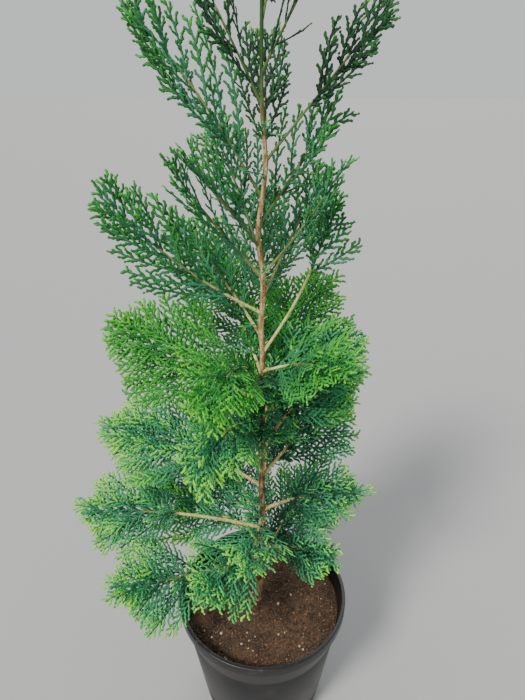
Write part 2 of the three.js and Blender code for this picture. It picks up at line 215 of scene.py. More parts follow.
pot = finished("nursery_pot", spun(pot_profile(), POT_STEPS))
drills = bmesh.new()
for i in range(DRAIN_HOLES):
    turn = math.tau * i / DRAIN_HOLES
    where = Matrix.Translation(Vector((math.cos(turn), math.sin(turn), 0)) * DRAIN_RING * MM)
    size = {"radius1": DRAIN_RADIUS * MM, "radius2": DRAIN_RADIUS * MM, "depth": 5 * POT_WALL * MM}
    bmesh.ops.create_cone(drills, cap_ends=True, segments=24, matrix=where, **size)
drill = finished("drills", drills)
cut = pot.modifiers.new("drain holes", "BOOLEAN")
cut.operation = "DIFFERENCE"
cut.solver = "EXACT"
cut.object = drill
drilled = bpy.data.meshes.new_from_object(pot.evaluated_get(bpy.context.evaluated_depsgraph_get()))
pot.modifiers.clear()
pot.data = drilled
bpy.data.objects.remove(drill)

CLEAN_PLASTIC = srgb(24, 25, 27)
DRIED_MUD = srgb(88, 78, 66)
SPLASHES_END = 45
SPILLS_START = 160
SPILLS_FULL = 184
plastic = Finish("black polypropylene", {})
dust = plastic.ramp(plastic.noise(size=40, detail=6), low=0.42, high=0.75)
splash = plastic.ramp(plastic.noise(size=4, detail=5), low=0.58, high=0.68)
wet_foot = 1 - plastic.ramp(plastic.height(), low=0, high=SPLASHES_END)
wet_lip = plastic.ramp(plastic.height(), low=SPILLS_START, high=SPILLS_FULL)
dirt = dust * 0.22 + splash * (wet_foot * 0.7 + wet_lip * 0.3)
grain = plastic.noise(size=0.8, detail=2) * 0.6 + plastic.noise(size=9, detail=1) * 0.4
plastic.set(
    {
        "Base Color": plastic.mix(dirt, CLEAN_PLASTIC, DRIED_MUD),
        "Roughness": 0.38 + dirt * 0.4,
        "Normal": plastic.bump(grain, depth=0.1),
    }
)
pot.data.materials.clear()
pot.data.materials.append(plastic.material)
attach(pot, "root")
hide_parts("pot")

# SOIL
# Moist peat compost with bark fines, filled to a little under the pot's lip. It has settled lower at the
# wall, and crumbs of peat, bark and a few grains of grit lie loose on it.
SOIL_LEVEL = box_mm("soil")[1].z
SOIL_FOOT = box_mm("soil")[0].z
WALL_GAP = 0.4
SOIL_FALL = 5
SOIL_SETTLED = 0.4
LEVEL_PATCH = 26
SMOOTH_PATCH = 30
MOUND = 0.8
MOUND_RADIUS = 16
# Size, layer of the noise and height of the clods
CLODS = ((13, 0, 1.5), (4.5, 3, 0.9))
SOIL_EDGE_INSET = 0.3
SOIL_EDGE_DEPTH = 4
SOIL_RINGS = 55
SOIL_STEPS = 220


def inner_radius(height):
    return wall_radius(height) - POT_WALL - WALL_GAP


def soil_height(x, y):
    """The soil's surface: level at the trunk, lower at the wall, and clodded all over"""
    out = math.hypot(x, y)
    fall = SOIL_FALL * max(0, (out - LEVEL_PATCH) / (inner_radius(SOIL_LEVEL) - LEVEL_PATCH)) ** 2
    clods = sum(noise.noise(Vector((x / size, y / size, layer))) * height for size, layer, height in CLODS)
    mound = MOUND * math.exp(-((out / MOUND_RADIUS) ** 2))
    return SOIL_LEVEL - fall + clods * min(1, out / SMOOTH_PATCH) + mound - SOIL_SETTLED


edge = inner_radius(SOIL_LEVEL - SOIL_FALL)
surface = [(edge * i / SOIL_RINGS, SOIL_LEVEL) for i in range(SOIL_RINGS + 1)]
under = [(edge - SOIL_EDGE_INSET, SOIL_LEVEL - SOIL_FALL - SOIL_EDGE_DEPTH)]
under += [(inner_radius(SOIL_FOOT), SOIL_FOOT), (0, SOIL_FOOT)]
bm = spun(surface + under, SOIL_STEPS)
for vert in bm.verts:
    if vert.co.z > (SOIL_LEVEL - 1) * MM:
        vert.co.z = soil_height(vert.co.x / MM, vert.co.y / MM) * MM
soil = finished("compost", bm)

MOIST_PEAT = srgb(46, 34, 26)
DRY_PEAT = srgb(72, 54, 40)
PEAT_FIBRE = srgb(104, 80, 58)
compost = Finish("peat compost", {})
fibres = compost.noise(size=2.2, detail=8)
patches = compost.ramp(compost.noise(size=26, detail=3), low=0.35, high=0.7)
peat = compost.mix(patches, MOIST_PEAT, DRY_PEAT)
compost.set(
    {
        "Base Color": compost.mix(compost.ramp(fibres, low=0.45, high=0.75), peat, PEAT_FIBRE),
        "Roughness": 0.95,
        "Normal": compost.bump(fibres, depth=0.9),
    }
)
soil.data.materials.append(compost.material)
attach(soil, "root")
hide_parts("soil")


def sown(name, points, quads, triangles, tones, finishes):
    """Many small closed shapes as one object. The tones say which finish each face has, quads first."""
    mesh = bpy.data.meshes.new(name)
    mesh.vertices.add(len(points))
    mesh.vertices.foreach_set("co", (points * MM).astype(np.float32).ravel())
    corners = np.concatenate([quads.ravel(), triangles.ravel()]).astype(np.int32)
    starts = np.concatenate([4 * np.arange(len(quads)), 4 * len(quads) + 3 * np.arange(len(triangles))])
    mesh.loops.add(len(corners))
    mesh.loops.foreach_set("vertex_index", corners)
    mesh.polygons.add(len(starts))
    mesh.polygons.foreach_set("loop_start", starts.astype(np.int32))
    mesh.polygons.foreach_set("material_index", tones.astype(np.int32))
    mesh.polygons.foreach_set("use_smooth", np.ones(len(starts), dtype=bool))
    mesh.update(calc_edges=True)
    for finish in finishes:
        mesh.materials.append(finish.material)
    piece = bpy.data.objects.new(name, mesh)
    bpy.context.scene.collection.objects.link(piece)
    return piece


CRUMBS = 1500
CRUMB_SIZES = (0.7, 2.6)
CRUMB_SPREAD = (0.006, 0.97)
CRUMB_BUMPS = (0.6, 1.25)
CRUMB_NARROWEST = 0.45
CRUMB_HEIGHT = 0.6
CRUMB_RISE = 0.2
# Share, colour and roughness of each kind of crumb
CRUMB_KINDS = {
    "peat crumbs": (0.66, srgb(58, 42, 32), 0.95),
    "bark fines": (0.29, srgb(112, 82, 58), 0.85),
    "grit": (0.05, srgb(168, 160, 146), 0.7),
}
crumb = bmesh.new()
bmesh.ops.create_icosphere(crumb, subdivisions=1, radius=1)
crumb_points = np.array([vert.co for vert in crumb.verts])
crumb_faces = np.array([[vert.index for vert in face.verts] for face in crumb.faces])
crumb.free()
rng = np.random.default_rng(11)
points = []
for _ in range(CRUMBS):
    out = edge * math.sqrt(rng.uniform(*CRUMB_SPREAD))
    turn = rng.uniform(0, math.tau)
    x, y = out * math.cos(turn), out * math.sin(turn)
    size = CRUMB_SIZES[0] + (CRUMB_SIZES[1] - CRUMB_SIZES[0]) * rng.uniform() ** 3
    bumps = rng.uniform(*CRUMB_BUMPS, crumb_points.shape)
    shape = crumb_points * bumps * (size, size * rng.uniform(CRUMB_NARROWEST, 1), size * CRUMB_HEIGHT)
    spin = rng.uniform(0, math.tau)
    cosine, sine = math.cos(spin), math.sin(spin)
    turned = shape @ np.array([[cosine, sine, 0], [-sine, cosine, 0], [0, 0, 1]])
    points.append(turned + (x, y, soil_height(x, y) + CRUMB_RISE * size))
faces = np.concatenate([crumb_faces + len(crumb_points) * i for i in range(CRUMBS)])
crumb_shares = [share for share, _, _ in CRUMB_KINDS.values()]
crumb_finishes = [
    Finish(name, {"Base Color": colour, "Roughness": roughness})
    for name, (_, colour, roughness) in CRUMB_KINDS.items()
]
crumb_tones = np.repeat(rng.choice(len(CRUMB_KINDS), CRUMBS, p=crumb_shares), len(crumb_faces))
no_quads = np.zeros((0, 4), int)
crumbs = sown("compost_crumbs", np.concatenate(points), no_quads, faces, crumb_tones, crumb_finishes)
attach(crumbs, "root")

# TRUNK
# One slender stem from a small root flare to the leader's tip. Its bark is thin and fibrous, dark brown at
# the foot and tan above, with a collar under every fork, and near the tip it is still green.
PLANT_HEIGHT = box_mm("trunk")[1].z - SOIL_LEVEL
TRUNK_RADIUS = 4.65
TIP_RADIUS = 0.7
FLARE = 3.4
FLARE_HEIGHT = 13
LEAN = 7
LEAN_HEIGHT = 38
# The trunk weaves. Amount, length and start of its weave to the side and to the back
WEAVE_SIDEWAYS = (0.8, 62, 0.6)
WEAVE_BACKWARDS = (2.6, 88, 2)
# Its knees: height above the soil, how far each puts it to the side, and over what height
KNEES = ((404, -2.2, 20), (497, -4.8, 27), (562, 3, 26))
TRUNK_SIDES = 28
TRUNK_RINGS = 520
# A power over 1 draws the rings closer together towards the foot
RINGS_TO_THE_FOOT = 1.15
TRUNK_START = 0.3
# Share, number and length of the fibres in the bark's relief
FIBRES = ((0.6, 1.7, 26), (0.4, 3.1, 9))
RELIEF = 0.42
RELIEF_TOP = 0.8
RELIEF_FADE = 620
RELIEF_LEAST = 0.2
COLLAR = 0.8
COLLAR_HEIGHT = 3.6
COLLAR_BEHIND = 0.2

# The boughs from the soil up: height of the fork above the soil, direction in degrees from +X towards +Y,
# climb in degrees at the fork and at the tip, length from the trunk to the tip of the fan, and length of the
# bare limb
BOUGHS = [
    (74, 58, 18, 0, 160, 22),
    (82, 206, 4, 24, 195, 78),
    (96, 338, 24, -8, 98, 22),
    (104, 230, 14, -18, 122, 22),
    (110, 156, 18, -6, 180, 30),
    (130, 184, 20, -4, 222, 104),
    (136, 122, 24, 4, 172, 22),
    (150, 262, 24, -24, 100, 22),
    (160, 6, 24, -20, 126, 30),
    (186, 84, 32, 8, 160, 24),
    (198, 172, 34, -6, 205, 50),
    (212, 34, 40, 12, 150, 22),
    (228, 116, 38, 16, 160, 22),
    (246, 352, 70, 16, 160, 56),
    (262, 240, 66, -70, 165, 32),
    (272, 78, 34, 16, 182, 24),
    (292, 24, 44, 20, 150, 24),
    (310, 176, 38, 14, 188, 46),
    (318, 56, 46, 28, 170, 22),
    (332, 246, 62, -60, 160, 40),
    (346, 114, 38, 22, 190, 20),
    (352, 312, 34, 2, 132, 22),
    (374, 8, 56, 84, 175, 94),
    (392, 142, 48, 28, 160, 24),
    (408, 88, 40, 28, 182, 24),
    (418, 186, 30, 58, 198, 34),
    (436, 50, 50, 40, 155, 20),
    (454, 202, 50, 56, 150, 28),
    (458, 340, 50, 64, 132, 56),
    (478, 114, 44, 36, 174, 18),
    (486, 232, 46, 38, 136, 22),
    (505, 26, 50, 60, 140, 24),
    (530, 178, 60, 44, 200, 34),
    (556, 90, 48, 42, 160, 20),
    (562, 4, 50, 50, 158, 52),
    (606, 202, 62, 58, 138, 16),
    (630, 318, 54, 50, 132, 14),
    (664, 74, 54, 50, 130, 12),
    (700, 172, 66, 60, 106, 10),
    (736, 342, 68, 62, 88, 9),
    (772, 110, 70, 66, 66, 8),
    (806, 250, 72, 70, 46, 6),
]


def weave(height, amount, length, start):
    return amount * np.sin(height / length + start)


def trunk_middle(height):
    """The trunk's middle at heights above the soil"""
    x = weave(height, *WEAVE_SIDEWAYS) - LEAN * np.exp(-height / LEAN_HEIGHT)
    for at, aside, spread in KNEES:
        x = x + aside * np.exp(-(((height - at) / spread) ** 2))
    return np.stack([x, weave(height, *WEAVE_BACKWARDS), SOIL_LEVEL + height], axis=-1)


def trunk_radius(height):
    left = np.maximum(0, 1 - height / PLANT_HEIGHT)
    return TIP_RADIUS + (TRUNK_RADIUS - TIP_RADIUS) * left + FLARE * np.exp(-height / FLARE_HEIGHT)


def rolled(bm, sides, rings, point):
    """A grid rolled into a closed tube. point(u, turn) gives its points at shares of its length and turns."""
    made = bmesh.ops.create_grid(bm, x_segments=sides, y_segments=rings, size=1)["verts"]
    flat = np.array([vert.co for vert in made])
    half = flat.max(axis=0)
    spots = point((flat[:, 1] / half[1] + 1) / 2, (flat[:, 0] / half[0] + 1) * math.pi)
    for vert, spot in zip(made, spots):
        vert.co = Vector(spot) * MM
    faces = {face for vert in made for face in vert.link_faces}
    bmesh.ops.remove_doubles(bm, verts=made, dist=1e-6)
    ends = [edge for face in faces if face.is_valid for edge in face.edges if edge.is_boundary]
    bmesh.ops.holes_fill(bm, edges=list(set(ends)), sides=sides)
    return [face for face in faces if face.is_valid]


def fibre(height, turn, sides, length):
    """Ridges of about a length that run along the stem. Their crests are at 1."""
    spot = Vector((math.cos(turn) * sides, math.sin(turn) * sides, height / length))
    return 1 - 3 * abs(noise.noise(spot))


def trunk_relief(height, turn):
    return sum(share * fibre(height, turn, sides, length) for share, sides, length in FIBRES)


def trunk_points(u, turn):
    height = TRUNK_START + (PLANT_HEIGHT - TRUNK_START) * u**RINGS_TO_THE_FOOT
    radius = trunk_radius(height)
    relief = np.array([trunk_relief(h, a) for h, a in zip(height, turn)])
    fading = np.clip(1.1 - height / RELIEF_FADE, RELIEF_LEAST, 1)
    starting = np.clip(u * 200, 0, 1)
    radius = radius + RELIEF * (relief - RELIEF_TOP) * fading * starting
    for fork, direction, *_ in BOUGHS:
        towards = np.maximum(0, np.cos(turn - math.radians(direction)))
        around = COLLAR_BEHIND + (1 - COLLAR_BEHIND) * towards
        collar = COLLAR * min(1, 1.2 - fork / PLANT_HEIGHT)
        radius = radius + collar * np.exp(-(((height - fork) / COLLAR_HEIGHT) ** 2)) * around
    radius = np.minimum(radius, trunk_radius(0) + 1)
    return trunk_middle(height) + radius[:, None] * np.stack([np.cos(turn), np.sin(turn), 0 * turn], axis=-1)


bm = bmesh.new()
rolled(bm, TRUNK_SIDES, TRUNK_RINGS, trunk_points)
trunk = finished("trunk_bark", bm)

OLD_BARK_UP_TO = 190
YOUNG_BARK_FROM = 430
AGE_WANDERS = 160
GREEN_WANDERS = 90


def bark_finish(name, young, old, flake, groove_shade, green, green_from, green_to):
    """Fibrous bark that turns from one colour into another, and into green between two heights. Its fibre
    grooves and rings are darkened towards a colour of painted shade.
    """
    bark = Finish(name, {})
    strips = bark.noise(size=1.6, detail=6, stretch=9)
    plates = bark.ramp(bark.noise(size=5, detail=5, stretch=2.5), low=0.42, high=0.58)
    rings = bark.ramp(bark.noise(size=4, detail=3, stretch=0.4), low=0.5, high=0.36)
    wandering = bark.height() + bark.noise(size=30, detail=2) * AGE_WANDERS - AGE_WANDERS / 2
    age = bark.ramp(wandering, low=SOIL_LEVEL + OLD_BARK_UP_TO, high=SOIL_LEVEL + YOUNG_BARK_FROM)
    wood = bark.mix(age, old, young)
    flaked = bark.mix(plates * (0.4 + age * 0.4), wood, flake)
    # Painted shade: the grooves between the fibres and the rings across them are darkened towards the shade
    # colour
    shaded_grooves = bark.mix(bark.ramp(strips, low=0.52, high=0.36) * 0.6 + rings * 0.35, flaked, groove_shade)
    turned = bark.ramp(bark.height() + strips * GREEN_WANDERS, low=green_from, high=green_to)
    bark.set(
        {
            "Base Color": bark.mix(turned, shaded_grooves, green),
            "Roughness": 0.68 + strips * 0.25,
            "Normal": bark.bump(strips * 0.7 + plates * 0.3, depth=0.5),
        }
    )
    return bark


bark = bark_finish(
    "fibrous bark",
    young=srgb(150, 116, 72),
    old=srgb(88, 58, 40),
    flake=srgb(212, 190, 136),
    # The colour of the painted shade in the trunk's grooves
    groove_shade=srgb(58, 38, 28),
    green=srgb(52, 84, 36),
    green_from=SOIL_LEVEL + 600,
    green_to=SOIL_LEVEL + 680,
)
trunk.data.materials.append(bark.material)
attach(trunk, "root")
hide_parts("trunk")

# BOUGHS
# Each bough is one tapering limb that swells where it leaves the trunk. Its bark is smoother and paler than
# the trunk's, and small scars show where it shed its first scale leaves.
BOUGH_STEP = 5
LATE_BEND = 1.4
SHORTEST_LIMB = 26
LIMB_EXTRA = 0.25
LIMB_SHARE = 0.5
LIMB_TAPER = 0.62
THINNEST_LIMB = 0.8
LIMB_SIDES = 12
LIMB_RING = 1.6
LIMB_SWELL = 0.5
SWELL_LENGTH = 5
SCARS = (0.9, 5)
SCAR_DEPTH = 0.13
# How far a fan is rolled about its bough, in degrees: beside the trunk, before and behind it, and by chance
ROLL_BESIDE = 62
ROLL_BEFORE = 22
ROLL_CHANCE = 24
FAN_WIDTH = 24
FAN_WIDENING = 0.4
FAN_NARROWING = 0.36
FAN_WIDEST = 0.8
FAN_ROUNDNESS = 0.85


def chance(a, b):
    """A number from 0 to 1 that is always the same for the same two counts"""
    x = math.sin(a * 12.9898 + b * 78.233) * 43758.5453
    return x - math.floor(x)


def unit(vectors):
    return vectors / np.linalg.norm(vectors, axis=-1, keepdims=True)


class Bough:
    """A bough's middle line and the directions of its flat fan"""

    def __init__(self, index, row):
        self.index = index
        self.number = f"{index + 1:02d}"
        self.height, self.direction, climb, tip_climb, self.reach, self.bare = row
        self.has_limb = self.bare >= SHORTEST_LIMB
        azimuth = math.radians(self.direction)
        steps = round(self.reach / BOUGH_STEP)
        rise = np.radians(climb + (tip_climb - climb) * ((np.arange(steps) + 0.5) / steps) ** LATE_BEND)
        level = np.cos(rise)
        ways = np.stack([level * math.cos(azimuth), level * math.sin(azimuth), np.sin(rise)], axis=-1)
        start = trunk_middle(np.array(float(self.height)))
        self.line = np.concatenate([[start], start + np.cumsum(ways, axis=0) * self.reach / steps])
        ahead = np.minimum(np.arange(steps + 1) + 1, steps)
        behind = np.maximum(np.arange(steps + 1) - 1, 0)
        self.forwards = self.line[ahead] - self.line[behind]
        roll = ROLL_BESIDE - (ROLL_BESIDE - ROLL_BEFORE) * abs(math.sin(azimuth))
        self.roll = math.radians(roll + ROLL_CHANCE * (chance(index, 7) - 0.5))

    def along(self, distance):
        """The middle, the way forward, and the fan's across and over directions at distances along it"""
        at = np.clip(np.asarray(distance, float) / self.reach, 0, 1) * (len(self.line) - 1)
        i = np.minimum(at.astype(int), len(self.line) - 2)
        share = (at - i)[..., None]
        middle = self.line[i] * (1 - share) + self.line[i + 1] * share
        forward = unit(self.forwards[i] * (1 - share) + self.forwards[i + 1] * share)
        level = unit(np.stack([forward[..., 1], -forward[..., 0], 0 * forward[..., 0]], axis=-1))
        level = level * np.where(level[..., 1:2] > 0, -1, 1)
        upper = unit(np.array([0, 0, 1]) - forward * forward[..., 2:3])
        over = upper * math.cos(self.roll) + level * math.sin(self.roll)
        return middle, forward, np.cross(over, forward), over

    def limb_radius(self, distance):
        root = LIMB_EXTRA + LIMB_SHARE * trunk_radius(float(self.height))
        return np.maximum(THINNEST_LIMB, root * (1 - LIMB_TAPER * np.minimum(1, distance / self.reach)))

    def half_width(self, distance):
        """Half the width of the fan at distances along the bough"""
        share = np.clip((distance - self.bare) / (self.reach - self.bare), 0, 1)
        low_width = FAN_WIDTH + FAN_WIDENING * (self.reach - self.bare)
        widest = low_width * (1 - FAN_NARROWING * self.height / PLANT_HEIGHT)
        return widest * np.maximum(0, np.sin(math.pi * share**FAN_WIDEST)) ** FAN_ROUNDNESS


def stem_points(bough, start, end, swell):
    """A function for rolled() that lays a stem along a bough between two distances"""

    def points(u, turn):
        distance = start + (end - start) * u
        middle, _, across, over = bough.along(distance)
        radius = bough.limb_radius(distance) * (1 + swell * np.exp(-distance / SWELL_LENGTH))
        scars = np.array([fibre(d, a, *SCARS) for d, a in zip(distance, turn)])
        radius = radius + SCAR_DEPTH * scars * (0.25 + u)
        return middle + radius[:, None] * (across * np.cos(turn)[:, None] - over * np.sin(turn)[:, None])

    return points


crown = [Bough(index, row) for index, row in enumerate(BOUGHS)]
limb_bark = bark_finish(
    "smooth young bark",
    young=srgb(212, 202, 118),
    old=srgb(190, 176, 106),
    flake=srgb(236, 228, 160),
    # The colour of the painted shade in the limbs' grooves
    groove_shade=srgb(128, 104, 58),
    green=srgb(84, 108, 60),
    green_from=SOIL_LEVEL + 440,
    green_to=SOIL_LEVEL + 550,
)
for bough in crown:
    if bough.has_limb:
        bm = bmesh.new()
        limb_points = stem_points(bough, 0, bough.bare + 1, LIMB_SWELL)
        rolled(bm, LIMB_SIDES, round(bough.bare / LIMB_RING), limb_points)
        limb = finished(f"bough_{bough.number}_bark", bm)
        limb.data.materials.append(limb_bark.material)
        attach(limb, "root")
        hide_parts(f"bough_{bough.number}")

# TWIGS
# A limb runs on as the thin stem of its fan. The stem is woody near the limb, then olive, and towards the
# tip it is hidden in scale leaves. Fans that sit close on the trunk have their stems straight out of it, and
# short stubs on the trunk are what its shed shoots have left.
WOODY_SHARE = 0.52
TWIG_SIDES = 7
TWIG_RING = 3
TWIG_SWELL = 0.3
OLIVE_FROM = 0.5
GREEN_FROM = 0.68
TURN_WANDERS = 0.12
STUBS = 110
STUBS_FROM = 40
STUBS_OVER = 540
STUB_SIDES = 6
STUB_RINGS = 3
STUB_RADIUS = 0.6
STUB_TAPER = 0.25
STUB_SHORTEST = 1.4
STUB_SPREAD = 5
# The least climb of a stub, and the most that chance adds
STUB_CLIMB = (0.5, 0.6)


def stub_points(root, way, length):
    """A function for rolled() that lays a short straight stub"""
    face = unit(np.cross(way, (0.0, 0.0, 1.0)))
    across = np.cross(face, way)

    def points(u, turn):
        radius = (STUB_RADIUS - STUB_TAPER * u)[:, None]
        around = face * np.cos(turn)[:, None] + across * np.sin(turn)[:, None]
        return root + way * length * u[:, None] + radius * around

    return points


twig_finishes = [
    limb_bark,
    Finish("olive twig", {"Base Color": srgb(128, 124, 66), "Roughness": 0.7}),
    Finish("green twig", {"Base Color": srgb(78, 112, 52), "Roughness": 0.65}),
]
bm = bmesh.new()
for bough in crown:
    start = bough.bare if bough.has_limb else 0
    end = bough.bare + WOODY_SHARE * (bough.reach - bough.bare)
    twig_points = stem_points(bough, start, end, TWIG_SWELL)
    faces = rolled(bm, TWIG_SIDES, round((end - start) / TWIG_RING), twig_points)
    for face in faces:
        gone = (np.array(face.calc_center_median()) / MM - bough.line[0]) / bough.reach
        share = np.linalg.norm(gone) + TURN_WANDERS * chance(face.index, bough.index)
        face.material_index = int(share > OLIVE_FROM) + int(share > GREEN_FROM)
for i in range(STUBS):
    height = STUBS_FROM + STUBS_OVER * (i + chance(i, 3)) / STUBS
    turn = math.tau * chance(i, 11)
    climb = STUB_CLIMB[0] + STUB_CLIMB[1] * chance(i, 5)
    way = unit(np.array([math.cos(turn), math.sin(turn), climb]))
    length = trunk_radius(height) + STUB_SHORTEST + STUB_SPREAD * chance(i, 17) ** 2
    rolled(bm, STUB_SIDES, STUB_RINGS, stub_points(trunk_middle(np.array(height)), way, length))
twigs = finished("twigs", bm)
for finish in twig_finishes:
    twigs.data.materials.append(finish.material)
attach(twigs, "root")
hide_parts(*(f"fan_{bough.number}" for bough in crown))

# FOLIAGE
# Every fan is a flat frond that branches three times, each time in one plane and by turns to the left and
# right. All its shoots are clothed in small pressed scale leaves in overlapping pairs, so they look braided.
# Old shoots near the trunk are bluish and dark, partly from age and partly as painted shade inside the crown,
# and this year's tips are fresh green.
tones = {
    "shaded teal": (18, 68, 46),
    "teal": (44, 118, 80),
    "sea green": (54, 148, 88),
    "fresh green": (98, 190, 78),
    "lime green": (142, 222, 74),
    "deep green": (14, 52, 30),
    "dark green": (26, 82, 40),
    "leaf green": (36, 116, 44),
    "grass green": (62, 156, 50),
    "spring green": (102, 190, 48),
    "moss green": (104, 150, 56),
}
foliage_finishes = [
    Finish(name, {"Base Color": srgb(*colour), "Roughness": 0.7}) for name, colour in tones.items()
]
# The tones of a fan from its oldest shoots to its youngest, and above which height each family takes over
LOW_TONES = (0, 1, 2, 3, 4)
MIDDLE_TONES = (1, 7, 8, 8, 9)
# The airy and high families are darker, with dark tips, as painted shade on the top of the crown; the leader
# takes the high family too
AIRY_TONES = (6, 1, 7, 7, 8)
HIGH_TONES = (5, 6, 6, 7, 10)
TONE_HEIGHTS = (290, 380, 540)
TONE_HEIGHTS_WANDER = 90
TONE_STEPS = 4.4
TONE_LATE = 1.6
TONE_CHANCE = 0.35
# Painted sunlight: fans that point towards this direction get brighter tones, and fans that point away get
# darker ones
SUNNY_DIRECTION = 205
SUNNY_CHANGE = 0.3
SUNNY_START = 0.35

JITTER = 0.2
LENGTH_JITTER = (0.8, 1.15)
OPENING_JITTER = 6
CLOTHED_SHARE = 0.97
SHORTEST_SHOOT = 1.8


class Shoots:
    """Shoots side by side in arrays: roots, ways and faces as vectors, and lengths, widths, bends and ages"""

    def __init__(self, root, way, face, length, width, bend, outer):
        self.root = root
        self.way = unit(way)
        self.face = unit(face - self.way * (face * self.way).sum(axis=-1, keepdims=True))
        self.length = length
        self.width = width
        self.bend = bend
        self.outer = outer

    def at(self, which, share):
        """The middle and the way forward at shares of the length of some of the shoots"""
        way = self.way[which]
        side = np.cross(self.face[which], way)
        length = self.length[which][..., None]
        bend = self.bend[which][..., None]
        share = share[..., None]
        middle = self.root[which] + length * (way * share + side * bend * share**2)
        return middle, unit(way + 2 * bend * share * side)

    def grow(self, rng, first, spacing, opening, length, width, bend, twist, ageing):
        """Side shoots by turns to the left and right. length(share, own) is their length before the dice."""
        counts = np.maximum(0, (self.length * CLOTHED_SHARE - first) / spacing + 1).astype(int)
        which = np.repeat(np.arange(len(counts)), counts)
        order = np.arange(counts.sum()) - np.repeat(np.cumsum(counts) - counts, counts)
        place = order + rng.uniform(-JITTER, JITTER, len(order))
        share = (first + spacing * place) / self.length[which]
        middle, forward = self.at(which, share)
        face = self.face[which]
        across = np.cross(face, forward)
        hand = np.where((order + which) % 2, 1, -1)[:, None]
        splay = np.radians(opening + rng.uniform(-OPENING_JITTER, OPENING_JITTER, len(order)))[:, None]
        lift = rng.normal(0, twist, len(order))[:, None]
        outwards = across * hand * np.cos(lift) + face * np.sin(lift)
        way = forward * np.cos(splay) + outwards * np.sin(splay)
        face = face + across * rng.normal(0, twist, len(order))[:, None]
        long = length(share, self.length[which]) * rng.uniform(*LENGTH_JITTER, len(order))
        outer = self.outer[which] + ageing * share
        kept = long > SHORTEST_SHOOT
        wide = np.full(kept.sum(), width)
        bends = -hand[kept, 0] * bend
        return Shoots(middle[kept], way[kept], face[kept], long[kept], wide, bends, outer[kept])


FIELDS = ("root", "way", "face", "length", "width", "bend", "outer")


def joined(several):
    return Shoots(*(np.concatenate([getattr(shoots, field) for shoots in several]) for field in FIELDS))


DENSE_BELOW = 330
AIRY_ABOVE = 460
# In these pairs the first number is for a dense low fan, and the second is what a fully airy one adds to it
SPRAY_SPACING = (6.8, 6)
SPRAY_WIDTH = (3, 0.3)
SPRAY_BEND = (0.1, 0.1)
COVER_SPACING = (7, 9)
FINE_SPACING = (4, 1.7)
FINE_OPENING = (40, -6)
FINE_WIDTH = (3.2, 0.1)
LONGEST_FINE = (18, -5)
TIP_SPACING = (3.4, 0.8)

SPRAY_OPENING = 50
SPRAY_CLOSING = 12
AIRY_CLOSING = 12
OPENING_CHANCE = 8
SPRAY_LIFT = 32
SPRAY_TWIST = 0.8
SHORTEST_SPRAY = 5
UPWARD = 0.3
COVERED_SHARE = 0.85
COVERS_ABOVE = 0.72
COVER_FORWARDS = 0.8
COVER_OUTWARDS = 0.6
COVER_SHORTEST = 14
COVER_LONGER = 0.34
COVER_WIDTH = 2.9
COVER_BEND = 0.1
# In these pairs the second number is the most that chance adds
SPRAY_LENGTHS = (0.8, 0.28)
COVER_LENGTHS = (0.8, 0.5)
COVER_LEAN = (24, 46)

STEM_SCALES_OVER_WOOD = 0.14
STEM_SCALE_LENGTH = 10
STEM_SCALE_WIDTH = 3.0
STEM_SCALE_AGE = 0.35
STEM_SCALE_OVERLAP = 1.04
CLEAR_OF_BAND = 3
CLEAR_OF_LIP = 2


def spray_length(bough, distance, splay):
    """The length of a spray that leaves the stem at a distance, out to the fan's outline"""
    length = bough.reach - bough.bare
    while length > SHORTEST_SPRAY:
        out = length * math.sin(splay)
        if out <= bough.half_width(distance + length * math.cos(splay)):
            break
        length -= 1
    return length


def by_airiness(pair, airy):
    return pair[0] + pair[1] * airy


def side_sprays(bough, airy):
    """The fan's first side shoots, from the foot of the fan to its tip"""
    rows = []
    count = round((bough.reach - bough.bare) / by_airiness(SPRAY_SPACING, airy))
    width = by_airiness(SPRAY_WIDTH, airy)
    bend = by_airiness(SPRAY_BEND, airy)
    for i in range(count):
        u = (i + 0.3) / count
        distance = bough.bare + (bough.reach - bough.bare) * u
        middle, forward, across, over = bough.along(distance)
        side = 1 if (i + bough.index) % 2 else -1
        opening = SPRAY_OPENING - SPRAY_CLOSING * u - AIRY_CLOSING * airy
        splay = math.radians(opening + OPENING_CHANCE * (chance(bough.index, i) - 0.5))
        lift = math.radians(SPRAY_LIFT * (chance(i, bough.index + 40) - 0.5))
        outwards = across * side * math.cos(lift) + over * math.sin(lift)
        way = forward * math.cos(splay) + outwards * math.sin(splay)
        way = unit(way + np.array([0, 0, UPWARD * airy]))
        face = over + across * SPRAY_TWIST * (chance(i + 9, bough.index) - 0.5)
        long = SPRAY_LENGTHS[0] + SPRAY_LENGTHS[1] * chance(i + 3, bough.index)
        long = spray_length(bough, distance, splay) * long
        young = 0.25 * u + 0.2 * (chance(i + 21, bough.index) - 0.5)
        rows.append((middle, way, face, long, width, -side * bend, young))
    return rows


def cover_sprays(bough, airy):
    """Short sprays that stand out of the fan's plane on both its faces and hide its stem"""
    rows = []
    count = round((bough.reach - bough.bare) * COVERED_SHARE / by_airiness(COVER_SPACING, airy))
    for i in range(count):
        u = (i + 0.6) / count * COVERED_SHARE
        distance = bough.bare + (bough.reach - bough.bare) * u
        middle, forward, across, over = bough.along(distance)
        up = 1 if chance(i, bough.index + 70) < COVERS_ABOVE else -1
        side = 1 if i % 2 else -1
        lean = math.radians(COVER_LEAN[0] + COVER_LEAN[1] * chance(i + 5, bough.index))
        outwards = over * up * math.cos(lean) + across * side * math.sin(lean)
        way = forward * COVER_FORWARDS + outwards * COVER_OUTWARDS
        face = np.cross(way, np.cross(over, way)) + across * (chance(i, bough.index + 90) - 0.5)
        long = COVER_SHORTEST + COVER_LONGER * bough.half_width(distance)
        long = long * (COVER_LENGTHS[0] + COVER_LENGTHS[1] * chance(i + 7, bough.index))
        rows.append((middle, way, face, long, COVER_WIDTH, -side * COVER_BEND, 0.35 * u - 0.05))
    return rows


